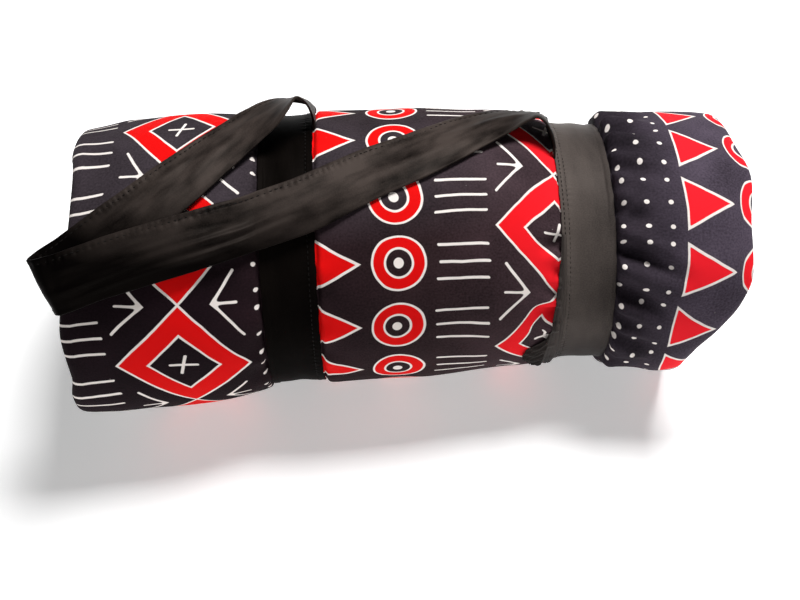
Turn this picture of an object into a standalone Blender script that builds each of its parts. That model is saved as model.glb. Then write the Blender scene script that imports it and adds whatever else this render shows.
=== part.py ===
"""Rolled picnic blanket: a blanket folded in thirds and rolled, two strap bands and a carry strap.

Metres, +Z up. +X runs along the roll to the right, -Y faces the viewer, and the origin is on the floor under
the middle of the roll. "Around" is an angle in degrees about the roll's own line: 0 is the top, 90 the front
(-Y), 180 the bottom and 270 the back.
"""
import math

import bmesh
import bpy
import numpy as np

# The blanket is about 1.44 m by 2.0 m: folded in thirds it is a strip 0.48 m wide, and rolled up, the strip
# makes WRAPS turns of three quilted layers each.
WRAPS = 6.65
FLAP_AROUND = 225.0        # where the strip's outer end lies, low at the back
FLAP_STEP = 0.0062         # thickness of that end, pressed flat
FLAP_FADE = 100.0          # degrees in which the roll is round again beyond the end
COLUMNS = 48               # columns of faces around the roll
GROOVE_DEPTH = 0.008       # how deep the turns part at the roll's two ends
CORE_RADIUS = 0.003

BAND_WIDTH = 0.0385
BAND_THICKNESS = 0.0015
BANDS = {"band_left": -0.0870, "band_right": 0.1265}
GAP = 0.0003
BAND_BED = 0.0022          # the roll's lowest line under a band, which leaves room for the band on the floor

STRAP_WIDTH = 0.040
STRAP_THICKNESS = 0.0016
STRAP_STEP = 0.0085        # length of one face along the carry strap

# The roll's cross sections, from left to right.
# along, middle_y, middle_z, radius
SECTIONS = (
    (-0.240, -0.0200, 0.1050, 0.1064),
    (-0.225, -0.0190, 0.1057, 0.1079),
    (-0.205, -0.0160, 0.1060, 0.1098),
    (-0.180, -0.0140, 0.1057, 0.1101),
    (-0.150, -0.0115, 0.1046, 0.1091),
    (-0.120, -0.0070, 0.1033, 0.1066),
    (-0.1100, -0.0047, 0.1029, 0.1052),
    (-0.1067, -0.0038, 0.1027, 0.1010),
    (-0.0870, -0.0022, 0.1022, 0.1005),
    (-0.0673, -0.0018, 0.1015, 0.1008),
    (-0.0640, -0.0018, 0.1013, 0.1042),
    (-0.030, -0.0010, 0.1004, 0.1045),
    (0.000, 0.0000, 0.0996, 0.1040),
    (0.040, 0.0015, 0.0982, 0.1022),
    (0.075, 0.0040, 0.0961, 0.0999),
    (0.100, 0.0045, 0.0942, 0.0966),
    (0.1058, 0.0037, 0.0938, 0.0950),
    (0.1068, 0.0034, 0.0937, 0.0914),
    (0.1265, 0.0020, 0.0931, 0.0896),
    (0.1462, 0.0002, 0.0933, 0.0890),
    (0.147, 0.0000, 0.0934, 0.0940),
    (0.153, -0.0005, 0.0938, 0.0982),
    (0.175, -0.0030, 0.0955, 0.0992),
    (0.200, -0.0070, 0.0969, 0.1004),
    (0.225, -0.0090, 0.0974, 0.1008),
    (0.240, -0.0100, 0.0974, 0.0998),
)

# How far the outer turn reaches at each end of the roll: around, along.
LEFT_END = ((-100, -0.243), (-20, -0.238), (8, -0.2328), (30, -0.235), (50, -0.2405), (66, -0.2445),
            (84, -0.2430), (98, -0.2480), (123, -0.2510), (180, -0.248))
RIGHT_END = ((-120, 0.232), (-40, 0.236), (-10, 0.2380), (12, 0.2440), (35, 0.2400), (53, 0.2405), (66, 0.234),
             (80, 0.221), (95, 0.207), (108, 0.2030), (130, 0.205), (180, 0.217))
END_ZONE = (0.165, 0.236)  # the ends' own shape fades in between these distances from the middle

# Creases that the bands pull into the cloth.
# band_edge, around, reach (signed, away from the band), half_angle, depth
CREASES = (
    (0.146, -30, 0.030, 7, 0.0040), (0.146, -8, 0.026, 6, 0.0022), (0.146, 12, 0.018, 5, 0.0012),
    (0.146, 33, 0.022, 6, 0.0022), (0.146, 58, 0.020, 6, 0.0015), (0.146, 78, 0.028, 7, 0.0028),
    (0.146, 105, 0.022, 8, 0.0020), (0.146, 150, 0.020, 8, 0.0012), (0.146, 250, 0.024, 8, 0.0022),
    (0.146, 290, 0.024, 8, 0.0026),
    (0.1072, 39, -0.018, 6, 0.0024), (0.1072, 68, -0.022, 7, 0.0026), (0.1072, 100, -0.018, 8, 0.0016),
    (0.1072, 262, -0.020, 8, 0.0020), (0.1072, 305, -0.020, 8, 0.0020),
    (-0.0677, 52, 0.016, 6, 0.0012), (-0.0677, 84, 0.018, 7, 0.0014), (-0.0677, 280, 0.018, 8, 0.0014),
    (-0.1063, 60, -0.018, 7, 0.0016), (-0.1063, 96, -0.020, 8, 0.0018), (-0.1063, 270, -0.018, 8, 0.0014),
)

# The carry strap, from the left band over and back to the right band: the middle of its width, where its
# width points on the unrolled surface (0 = along the roll, 90 = down the front), and how much higher its
# near edge is than its far edge. The lift counts from the roll without the bands' grooves.
# along, around, lift, width_turn, rise
STRAP = (
    (-0.0662, -27.0, -0.0008, 90, 0.000), (-0.0660, -26.0, 0.0060, 90, 0.001), (-0.0672, -23.5, 0.0130, 90, 0.005),
    (-0.0705, -20.0, 0.0205, 88, 0.012), (-0.0775, -16.5, 0.0255, 84, 0.019), (-0.0870, -14.0, 0.0238, 76, 0.012),
    (-0.0975, -12.4, 0.0178, 72, 0.004), (-0.1086, -11.0, 0.0116, 69, 0.000), (-0.1224, -6.0, 0.0066, 65, 0.000),
    (-0.1369, 0.4, 0.0040, 61, 0.000), (-0.1516, 7.7, 0.0033, 59, 0.000), (-0.1671, 14.5, 0.0032, 56.5, 0.000),
    (-0.1882, 23.0, 0.0032, 55.5, 0.000), (-0.2113, 30.3, 0.0036, 56, 0.000), (-0.2333, 37.5, 0.0046, 59, 0.000),
    (-0.2450, 41.5, 0.0062, 63, 0.000), (-0.2494, 43.6, 0.0092, 66, 0.000), (-0.2460, 43.8, 0.0122, 70, 0.000),
    (-0.2377, 43.0, 0.0132, 75, 0.000), (-0.2210, 41.1, 0.0120, 78, 0.000), (-0.2046, 39.6, 0.0104, 78.5, 0.000),
    (-0.1815, 37.2, 0.0092, 78, 0.000), (-0.1582, 34.6, 0.0083, 77, 0.000), (-0.1326, 31.8, 0.0072, 75, 0.000),
    (-0.1039, 28.9, 0.0054, 72, 0.000), (-0.0759, 24.3, 0.0044, 70, 0.000), (-0.0473, 16.9, 0.0036, 68.5, 0.000),
    (-0.0225, 10.6, 0.0032, 68, 0.000), (0.0023, 4.9, 0.0031, 69, 0.000), (0.0240, -1.3, 0.0031, 70, 0.000),
    (0.0491, -9.6, 0.0036, 74, 0.001), (0.0707, -14.5, 0.0064, 80, 0.006), (0.0880, -15.5, 0.0115, 90, 0.014),
    (0.0965, -14.5, 0.0145, 95, 0.017), (0.1030, -13.0, 0.0125, 94, 0.013), (0.1058, -11.5, 0.0078, 91, 0.006),
    (0.1063, -9.5, 0.0005, 90, 0.000),
)


def smooth_column(rows, column, at):
    """Reads one column of a table as a smooth curve through its rows, without overshoot between them."""
    x = np.array([row[0] for row in rows])
    y = np.array([row[column] for row in rows])
    step, rise = np.diff(x), np.diff(y)
    slope = rise / step
    tangent = np.zeros(len(x))
    both = slope[1:] * slope[:-1] > 0
    mean = 2 * slope[1:] * slope[:-1] / np.where(both, slope[1:] + slope[:-1], 1.0)
    tangent[1:-1] = np.where(both, mean, 0.0)
    tangent[0], tangent[-1] = slope[0], slope[-1]
    at = np.clip(np.asarray(at, float), x[0], x[-1])
    i = np.clip(np.searchsorted(x, at) - 1, 0, len(step) - 1)
    t = (at - x[i]) / step[i]
    return (y[i] * (1 + 2 * t) * (1 - t) ** 2 + y[i + 1] * t * t * (3 - 2 * t)
            + step[i] * (tangent[i] * t * (1 - t) ** 2 - tangent[i + 1] * t * t * (1 - t)))


def fade(t):
    t = np.clip(t, 0.0, 1.0)
    return t * t * (3 - 2 * t)


def end_reach(table, around):
    """How far the outer turn reaches at this angle: a closed curve around the roll."""
    closed = tuple((a - 360, x) for a, x in table) + table + tuple((a + 360, x) for a, x in table)
    return smooth_column(closed, 1, (np.asarray(around) + 180.0) % 360.0 - 180.0)


def turn_difference(a, b):
    return (a - b + 180.0) % 360.0 - 180.0


def in_band(along, margin=0.0005):
    return any(abs(along - middle) <= BAND_WIDTH / 2 + margin for middle in BANDS.values())


def cloth_radius(along, around):
    """The roll's radius with the step beyond the strip's outer end and the creases beside the bands."""
    radius = float(smooth_column(SECTIONS, 3, along))
    past_end = (around - FLAP_AROUND) % 360.0 if around < FLAP_AROUND + 360.0 else 360.0
    step = 0.0012 if in_band(along) else FLAP_STEP
    radius -= step * float(1 - fade(past_end / FLAP_FADE))
    if in_band(along):
        return radius
    for edge, angle, reach, half_angle, depth in CREASES:
        away = (along - edge) / reach
        if -0.05 <= away < 1.0:
            across = turn_difference(around, angle) / half_angle
            ridges = 0.35 * math.exp(-((abs(across) - 2.0) / 0.8) ** 2)
            radius -= depth * float(1 - fade(away)) * (math.exp(-across * across) - ridges)
    return radius


def smooth_radius(along):
    """The roll's radius as it would run without the grooves under the bands."""
    return float(smooth_column([row for row in SECTIONS if not in_band(row[0])], 3, along))


def place(along, around, radius, floor=0.0):
    a = math.radians(around)
    y = float(smooth_column(SECTIONS, 1, along)) - radius * math.sin(a)
    z = float(smooth_column(SECTIONS, 2, along)) + radius * math.cos(a)
    return along, y, max(z, floor)


def with_end_shape(along, around):
    """Moves a section's point along the roll, so that the ends follow their own outlines."""
    share = float(fade((abs(along) - END_ZONE[0]) / (END_ZONE[1] - END_ZONE[0])))
    if along < 0:
        return along + share * (float(end_reach(LEFT_END, around)) + GROOVE_DEPTH + END_ZONE[1])
    return along + share * (float(end_reach(RIGHT_END, around)) - GROOVE_DEPTH - END_ZONE[1])


def roll_stations():
    """Places of the sections along the roll: close beside the bands, wider apart elsewhere."""
    edges = []
    for middle in BANDS.values():
        half = BAND_WIDTH / 2
        for side in (-1, 1):
            edges += [middle + side * (half + away) for away in (0, 0.0004, 0.0012, 0.0045, 0.0095, 0.017)]
        edges += [middle - 0.8 * half, middle, middle + 0.8 * half]
    edges += [-END_ZONE[1], -0.2285, -0.2150, END_ZONE[1], 0.2285, 0.2150]
    edges.sort()
    stations = []
    for a, b in zip(edges, edges[1:]):
        parts = max(1, math.ceil((b - a) / 0.0165 - 0.3))
        stations += [a + (b - a) * k / parts for k in range(parts)]
    return stations + [edges[-1]]


# One turn's edge, seen at the roll's end: how far through the turn, and how far out of the groove.
TURN_EDGE = ((0.20, 0.70), (0.50, 1.00), (0.80, 0.70))


def make_object(name, mesh_builder, material):
    mesh = bpy.data.meshes.new(name)
    builder = bmesh.new()
    mesh_builder(builder)
    bmesh.ops.recalc_face_normals(builder, faces=builder.faces)
    if builder.calc_volume(signed=True) < 0:
        bmesh.ops.reverse_faces(builder, faces=builder.faces)
    builder.to_mesh(mesh)
    builder.free()
    mesh.shade_smooth()
    mesh.set_sharp_from_angle(angle=math.radians(50))
    mesh.materials.append(material)
    piece = bpy.data.objects.new(name, mesh)
    bpy.context.scene.collection.objects.link(piece)
    return piece


def quad(builder, a, b, c, d):
    """A four-sided face, cut into two triangles along its shorter diagonal."""
    if (a.co - c.co).length <= (b.co - d.co).length:
        builder.faces.new((a, b, c))
        builder.faces.new((a, c, d))
    else:
        builder.faces.new((a, b, d))
        builder.faces.new((b, c, d))


def build_roll(builder):
    """One closed solid: the round side with the strip's outer edge, and the spiral of turns at both ends."""
    angles = [FLAP_AROUND + 360.0 * j / COLUMNS for j in range(COLUMNS + 1)]
    rings = []
    for along in roll_stations():
        floor = BAND_BED if in_band(along) else 0.0
        ring = []
        for around in angles:
            moved = with_end_shape(along, around)
            ring.append(builder.verts.new(place(moved, around, cloth_radius(along, around), floor)))
        outer, inner = cloth_radius(along, angles[-1]), cloth_radius(along, angles[0])
        moved = with_end_shape(along, FLAP_AROUND)
        for through, out in TURN_EDGE:
            radius = outer + (inner - outer) * through
            bulge = math.degrees(0.35 * (outer - inner) * out / radius)
            ring.append(builder.verts.new(place(moved, FLAP_AROUND + bulge, radius, floor)))
        rings.append(ring)
    for left, right in zip(rings, rings[1:]):
        for j in range(len(left)):
            k = (j + 1) % len(left)
            quad(builder, left[j], left[k], right[k], right[j])
    build_end(builder, rings[0], LEFT_END, -1, roll_stations()[0])
    build_end(builder, rings[-1], RIGHT_END, 1, roll_stations()[-1])


def build_end(builder, rim, table, side, along):
    """The spiral end: every turn of the strip is a rounded ridge, parted from the next by a groove."""
    steps = round(WRAPS * COLUMNS)
    rim_radius = float(smooth_column(SECTIONS, 3, along))
    mean_reach = float(np.mean(end_reach(table, np.arange(0, 360, 15))))

    def spiral_radius(i):
        inner_turns = (steps - COLUMNS) / COLUMNS
        return CORE_RADIUS + (rim_radius - FLAP_STEP - CORE_RADIUS) * (i / COLUMNS) / inner_turns

    def end_point(i, radius, out):
        around = FLAP_AROUND - 360.0 * (steps - i) / COLUMNS
        share = (radius / rim_radius) ** 2
        reach = mean_reach + (float(end_reach(table, around)) - mean_reach) * share
        turn = i / COLUMNS
        sway = 0.0016 * math.sin(2.3 * turn + side) + 0.0012 * math.sin(math.radians(around) * 2 + turn)
        depth = GROOVE_DEPTH * (1 - out) + 0.004 * (1 - share)
        moved = reach + side * (sway * (1 - share) - depth)
        # the turns keep the middle line of the section that the rim reaches at this angle
        rim_along = along + (float(end_reach(table, around)) - side * GROOVE_DEPTH - along) * share
        _, y, z = place(rim_along, around, radius)
        return builder.verts.new((moved, y, z))

    grooves = [end_point(i, spiral_radius(i), 0.0) for i in range(steps - COLUMNS)] + rim[:COLUMNS + 1]
    edge_rows = {}
    for i in range(COLUMNS, steps):
        if i < steps - COLUMNS:
            outer = spiral_radius(i)
        else:
            around = FLAP_AROUND - 360.0 * (steps - i) / COLUMNS + 360.0
            outer = cloth_radius(along, around)
        inner = spiral_radius(i - COLUMNS)
        edge_rows[i] = [end_point(i, outer + (inner - outer) * through, out) for through, out in TURN_EDGE]
    edge_rows[steps] = rim[COLUMNS + 1:]
    # the strip's pressed outer end stands out of the rim like the other turns
    for vertex, (_, out) in zip(edge_rows[steps], TURN_EDGE):
        vertex.co.x += side * GROOVE_DEPTH * 0.8 * out
    for i in range(COLUMNS, steps):
        here = [grooves[i]] + edge_rows[i] + [grooves[i - COLUMNS]]
        after = [grooves[i + 1]] + edge_rows[i + 1] + [grooves[i + 1 - COLUMNS]]
        for k in range(len(here) - 1):
            quad(builder, here[k], after[k], after[k + 1], here[k + 1])
    first_turn = grooves[:COLUMNS + 1] + edge_rows[COLUMNS]
    start = FLAP_AROUND - 360.0 * steps / COLUMNS
    _, y, z = place(along, start - 90.0, 0.6 * CORE_RADIUS)
    middle = np.array((mean_reach - side * 0.006, y, z))
    ring = []
    for vertex in first_turn:
        inward = middle + (np.array(vertex.co) - middle) * 0.5
        inward[0] = mean_reach - side * 0.0045
        ring.append(builder.verts.new(inward))
    core = builder.verts.new(middle)
    for k in range(len(first_turn)):
        m = (k + 1) % len(first_turn)
        quad(builder, first_turn[k], first_turn[m], ring[m], ring[k])
        builder.faces.new((ring[k], ring[m], core))


def build_band(middle):
    """A closed flat ring of satin that follows the squeezed roll under it."""
    def build(builder):
        half = BAND_WIDTH / 2
        across = [middle + half * share for share in (-1, -0.8, 0, 0.8, 1)]
        rings = []
        for j in range(COLUMNS):
            around = FLAP_AROUND + 360.0 * j / COLUMNS
            inside, outside = [], []
            for along in across:
                radius = max(cloth_radius(along, around), cloth_radius(along, around + 360.0 * (j == 0))) + GAP
                hem = 0.0004 if abs(along - middle) > 0.7 * half else 0.0
                inside.append(builder.verts.new(place(along, around, radius, BAND_BED - GAP)))
                outer = radius + BAND_THICKNESS + hem
                outside.append(builder.verts.new(place(along, around, outer, 0.0)))
            rings.append(inside + outside[::-1])
        for here, after in zip(rings, rings[1:] + rings[:1]):
            for k in range(len(here)):
                m = (k + 1) % len(here)
                quad(builder, here[k], here[m], after[m], after[k])
    return build


def strap_rows():
    """The carry strap's rows, read as smooth curves at even steps along its length."""
    rows = np.array(STRAP)
    points = np.array([place(row[0], row[1], smooth_radius(row[0]) + row[2]) for row in STRAP])
    length = np.concatenate([[0.0], np.cumsum(np.linalg.norm(np.diff(points, axis=0), axis=1))])
    at = np.linspace(0.0, length[-1], round(length[-1] / STRAP_STEP) + 1)
    # a natural smooth curve: each row's neighbours set its direction
    tangent = np.gradient(rows, length, axis=0)
    i = np.clip(np.searchsorted(length, at) - 1, 0, len(length) - 2)
    step = (length[i + 1] - length[i])[:, None]
    t = ((at - length[i]) / (length[i + 1] - length[i]))[:, None]
    return (rows[i] * (1 + 2 * t) * (1 - t) ** 2 + rows[i + 1] * t * t * (3 - 2 * t)
            + step * (tangent[i] * t * (1 - t) ** 2 - tangent[i + 1] * t * t * (1 - t)))


def strap_surface(across_steps):
    """Points of the strap's middle surface: one row per step along it, from the far to the near edge."""
    grid = []
    for along, around, lift, turn, rise in strap_rows():
        radius = smooth_radius(along) + lift
        flat = math.sqrt(max(STRAP_WIDTH ** 2 - rise ** 2, 0.0))
        row = []
        for k in range(across_steps + 1):
            share = k / across_steps - 0.5
            sideways = flat * share * math.cos(math.radians(turn))
            down = math.degrees(flat * share * math.sin(math.radians(turn)) / radius)
            here = along + sideways
            row.append(place(here, around + down, smooth_radius(here) + lift + rise * share))
        grid.append(row)
    return np.array(grid)


def build_strap(builder):
    surface = strap_surface(4)
    along = np.gradient(surface, axis=0)
    across = np.gradient(surface, axis=1)
    normal = np.cross(along, across)
    normal /= np.linalg.norm(normal, axis=2, keepdims=True)
    half = STRAP_THICKNESS / 2
    rings = []
    for points, directions in zip(surface, normal):
        upper = [builder.verts.new(p + d * half) for p, d in zip(points, directions)]
        lower = [builder.verts.new(p - d * half) for p, d in zip(points, directions)]
        rings.append(upper + lower[::-1])
    for here, after in zip(rings, rings[1:]):
        for k in range(len(here)):
            m = (k + 1) % len(here)
            quad(builder, here[k], here[m], after[m], after[k])
    for ring in (rings[0], rings[-1]):
        half_count = len(ring) // 2
        upper, lower = ring[:half_count], ring[half_count:][::-1]
        for k in range(half_count - 1):
            quad(builder, upper[k], upper[k + 1], lower[k + 1], lower[k])


def make_material(name, colour, roughness):
    material = bpy.data.materials.new(name)
    material.use_nodes = True
    shader = material.node_tree.nodes["Principled BSDF"]
    shader.inputs["Base Color"].default_value = (*colour, 1.0)
    shader.inputs["Roughness"].default_value = roughness
    shader.inputs["Metallic"].default_value = 0.0
    material.diffuse_color = (*colour, 1.0)
    return material


def main():
    for thing in list(bpy.data.objects):
        bpy.data.objects.remove(thing, do_unlink=True)
    cotton = make_material("printed_cotton", (0.035, 0.026, 0.030), 0.85)
    band_satin = make_material("band_satin", (0.030, 0.028, 0.026), 0.45)
    strap_satin = make_material("strap_satin", (0.018, 0.016, 0.015), 0.40)
    make_object("blanket_roll", build_roll, cotton)
    for name, middle in BANDS.items():
        make_object(name, build_band(middle), band_satin)
    make_object("carry_strap", build_strap, strap_satin)


main()
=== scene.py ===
"""Rolled picnic blanket: printed cotton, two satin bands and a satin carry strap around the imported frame.

Metres, +Z up. +X runs along the roll, -Y faces the viewer. "Around" is an angle in degrees about the roll's
own line: 0 is the top, 90 the front, 180 the bottom and 270 the back. "Along" is the distance along the roll.
"""
import math

import bmesh
import bpy
import numpy as np
from mathutils import Matrix, Vector


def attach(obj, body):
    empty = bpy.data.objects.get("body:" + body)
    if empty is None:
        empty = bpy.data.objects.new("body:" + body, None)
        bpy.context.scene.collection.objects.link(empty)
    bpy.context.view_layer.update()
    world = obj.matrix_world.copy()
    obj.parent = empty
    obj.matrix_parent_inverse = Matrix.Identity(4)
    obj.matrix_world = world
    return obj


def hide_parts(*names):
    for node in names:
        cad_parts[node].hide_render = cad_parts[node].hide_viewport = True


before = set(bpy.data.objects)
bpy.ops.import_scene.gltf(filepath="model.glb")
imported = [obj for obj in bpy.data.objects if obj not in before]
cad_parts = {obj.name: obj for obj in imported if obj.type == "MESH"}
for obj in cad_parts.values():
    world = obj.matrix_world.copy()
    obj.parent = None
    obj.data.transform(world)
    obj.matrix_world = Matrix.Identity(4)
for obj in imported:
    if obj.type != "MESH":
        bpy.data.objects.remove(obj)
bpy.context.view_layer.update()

# The roll's sizes, as in the part's source.

WRAPS = 6.65
FLAP_AROUND = 225.0
FLAP_STEP = 0.0062
FLAP_FADE = 100.0
GROOVE_DEPTH = 0.008
CORE_RADIUS = 0.003
OUTER_RADIUS, TURN_THICKNESS = 0.105, 0.0155

BAND_WIDTH = 0.0385
BAND_THICKNESS = 0.0015
BANDS = {"band_left": -0.0870, "band_right": 0.1265}
GAP = 0.0003
BAND_BED = 0.0022
BAND_STEP = 0.0012         # what is left of the flap's step under a band
SATIN_ROUND = 0.1          # the radius that turns angles into lengths of satin

STRAP_WIDTH = 0.040
STRAP_THICKNESS = 0.0016

# The roll's cross sections, from left to right.
# along, middle_y, middle_z, radius
SECTIONS = (
    (-0.24, -0.02, 0.105, 0.1064),
    (-0.225, -0.019, 0.1057, 0.1079),
    (-0.205, -0.016, 0.106, 0.1098),
    (-0.18, -0.014, 0.1057, 0.1101),
    (-0.15, -0.0115, 0.1046, 0.1091),
    (-0.12, -0.007, 0.1033, 0.1066),
    (-0.11, -0.0047, 0.1029, 0.1052),
    (-0.1067, -0.0038, 0.1027, 0.101),
    (-0.087, -0.0022, 0.1022, 0.1005),
    (-0.0673, -0.0018, 0.1015, 0.1008),
    (-0.064, -0.0018, 0.1013, 0.1042),
    (-0.03, -0.001, 0.1004, 0.1045),
    (0, 0, 0.0996, 0.104),
    (0.04, 0.0015, 0.0982, 0.1022),
    (0.075, 0.004, 0.0961, 0.0999),
    (0.1, 0.0045, 0.0942, 0.0966),
    (0.1058, 0.0037, 0.0938, 0.095),
    (0.1068, 0.0034, 0.0937, 0.0914),
    (0.1265, 0.002, 0.0931, 0.0896),
    (0.1462, 0.0002, 0.0933, 0.089),
    (0.147, 0, 0.0934, 0.094),
    (0.153, -0.0005, 0.0938, 0.0982),
    (0.175, -0.003, 0.0955, 0.0992),
    (0.2, -0.007, 0.0969, 0.1004),
    (0.225, -0.009, 0.0974, 0.1008),
    (0.24, -0.01, 0.0974, 0.0998),
)

# How far the outer turn reaches at each end of the roll: around, along.
LEFT_END = (
    (-100, -0.243), (-20, -0.238), (8, -0.2328), (30, -0.235), (50, -0.2405), (66, -0.2445), (84, -0.243),
    (98, -0.248), (123, -0.251), (180, -0.248),
)
RIGHT_END = (
    (-120, 0.232), (-40, 0.236), (-10, 0.238), (12, 0.244), (35, 0.24), (53, 0.2405), (66, 0.234),
    (80, 0.221), (95, 0.207), (108, 0.203), (130, 0.205), (180, 0.217),
)
END_ZONE = (0.165, 0.236)

# The carry strap: the middle of its width, its lift off the roll, where its width points, and how much higher
# its near edge is than its far edge.
# along, around, lift, width_turn, rise
STRAP = (
    (-0.0664, -27, -0.0008, 90, 0), (-0.0666, -26, 0.005, 90, 0.004), (-0.0682, -23.5, 0.0112, 90, 0.011),
    (-0.0722, -20, 0.0184, 88, 0.017), (-0.079, -16.5, 0.0242, 84, 0.02), (-0.0876, -14, 0.0232, 76, 0.012),
    (-0.0975, -12.4, 0.0178, 72, 0.004), (-0.1086, -11, 0.0116, 69, 0), (-0.1224, -6, 0.0066, 65, 0),
    (-0.1369, 0.4, 0.004, 61, 0), (-0.1516, 7.7, 0.0033, 59, 0), (-0.1671, 14.5, 0.0032, 56.5, 0),
    (-0.1882, 23, 0.0032, 55.5, 0), (-0.2113, 30.3, 0.0036, 56, 0), (-0.2333, 37.5, 0.0046, 59, 0),
    (-0.245, 41.5, 0.0062, 63, 0), (-0.2494, 43.6, 0.0092, 66, 0), (-0.246, 43.8, 0.0122, 70, 0),
    (-0.2377, 43, 0.0132, 75, 0), (-0.221, 41.1, 0.012, 78, 0), (-0.2046, 39.6, 0.0104, 78.5, 0),
    (-0.1815, 37.2, 0.0092, 78, 0), (-0.1582, 34.6, 0.0083, 77, 0), (-0.1326, 31.8, 0.0072, 75, 0),
    (-0.1039, 28.9, 0.0054, 72, 0), (-0.0759, 24.3, 0.0044, 70, 0), (-0.0473, 16.9, 0.0036, 68.5, 0),
    (-0.0225, 10.6, 0.0032, 68, 0), (0.0023, 4.9, 0.0031, 69, 0), (0.024, -1.3, 0.0031, 70, 0),
    (0.0491, -9.6, 0.0036, 74, 0.001), (0.0707, -14.5, 0.0064, 80, 0.006),
    (0.088, -15.5, 0.0115, 90, 0.014), (0.0965, -14.5, 0.0145, 95, 0.017), (0.103, -13, 0.0125, 94, 0.013),
    (0.1058, -11.5, 0.0078, 91, 0.006), (0.1063, -9.5, 0.0005, 90, 0),
)

# The looks' own sizes.

COLUMNS = 192              # columns of faces around the roll
BAND_COLUMNS = 800         # the same around a band, fine enough for its stitched hems
STRAP_ROW = 0.0012         # length of one face along the carry strap
BAND_STITCH, STRAP_STITCH = 0.0038, 0.0044
FLOOR_GAP = 0.0012         # stitches are left out where they lie closer to the floor

# The larger creases that the bands pull into the cloth, by the band's edge that they start at: how far they
# run (signed, away from the band), how wide and deep they are, and how they lean on the way.
# around, reach, half_angle, depth, lean
CREASES = {
    0.146: (
        (-34, 0.046, 5, 0.007, 5), (-18, 0.044, 3.6, 0.007, 5), (-6, 0.034, 4, 0.0052, 8),
        (5, 0.046, 3.6, 0.0072, 9), (16, 0.026, 2.6, 0.0036, -3), (27, 0.032, 3.2, 0.0046, 5),
        (36, 0.03, 3, 0.0046, -9), (43, 0.062, 3.6, 0.0105, 15), (61, 0.052, 4.2, 0.0095, 15),
        (75, 0.026, 3, 0.004, 3), (87, 0.05, 4, 0.008, 10), (98, 0.024, 3, 0.0034, -3),
        (108, 0.03, 5, 0.004, 3), (130, 0.024, 7, 0.0022, -3), (155, 0.02, 8, 0.0014, 0),
        (250, 0.028, 7, 0.003, 5), (276, 0.022, 5, 0.0022, -3), (295, 0.03, 6, 0.0036, -4),
    ),
    0.1072: (
        (42, -0.022, 3, 0.0062, 3), (54, -0.014, 2.6, 0.0024, 2), (66, -0.022, 3, 0.0034, -4),
        (75, -0.026, 3.4, 0.0066, -3), (88, -0.024, 3.4, 0.0034, 4), (100, -0.02, 7, 0.0022, 0),
        (135, -0.018, 7, 0.0016, 2), (262, -0.024, 7, 0.0028, 5), (283, -0.016, 4, 0.0018, 0),
        (305, -0.022, 7, 0.0026, 2),
    ),
    -0.0677: (
        (44, 0.012, 3, 0.001, 0), (57, 0.02, 4.5, 0.0022, 3), (72, 0.012, 3, 0.001, 0),
        (86, 0.022, 5, 0.0024, -3), (104, 0.018, 7, 0.0016, 2), (250, 0.02, 7, 0.002, 4),
        (280, 0.02, 8, 0.0018, 0),
    ),
    -0.1063: (
        (49, -0.014, 3, 0.0012, 0), (60, -0.022, 5, 0.0024, 0), (78, -0.02, 4, 0.0026, 4),
        (96, -0.024, 6, 0.0028, 2), (120, -0.018, 7, 0.0018, 0), (248, -0.022, 7, 0.0022, -3),
        (270, -0.02, 8, 0.0018, 0),
    ),
}

# One turn's edge at the roll's end: how far through the turn, how far out of the groove, and how much of it
# is the plain bound hem. The strip's fold is the thick nose, the blanket's hem the thin one.
# through, out, hem
TURN_EDGE = (
    (0.03, 0.38, 0), (0.08, 0.64, 0), (0.17, 0.88, 0), (0.32, 1, 0), (0.47, 0.88, 0), (0.55, 0.66, 0),
    (0.61, 0.4, 0), (0.645, 0.16, 1), (0.675, 0.4, 1), (0.73, 0.64, 1), (0.81, 0.72, 1), (0.89, 0.62, 1),
    (0.96, 0.34, 1),
)

# The print's place on the cloth: its columns repeat around the roll, every REPEAT_DEGREES of it, and the
# cloth has slipped a little from column to column.
REPEAT_AROUND = 0.0488
REPEAT_DEGREES = 26.6
FIRST_RING_AROUND = 20.6
FIRST_RING_ALONG = -0.0100
# along, slip around in degrees, stretch around, slip along
PRINT_SLIP = (
    (-0.25, -2.5, 0, 0), (-0.188, -4.2, 0, 0), (-0.165, -5, 0, 0.0005), (-0.14, -4, 0, 0),
    (-0.107, -2.3, 0, 0.001), (-0.068, -0.5, 0, 0), (-0.01, 0, 0, 0), (0.035, 0.2, 0, 0),
    (0.082, 1.9, 0.01, -0.0002), (0.103, 4.4, 0.02, 0), (0.128, 4.2, 0.03, 0.004),
    (0.149, 3.8, 0.036, 0.0062), (0.1675, 3.7, 0.038, 0.0026), (0.183, 3.7, 0.038, 0),
    (0.224, 3.7, 0.038, 0), (0.231, 3.7, 0.038, 0.004), (0.236, 3.7, 0.038, 0.0083),
    (0.245, 3.7, 0.038, 0.014),
)

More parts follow.
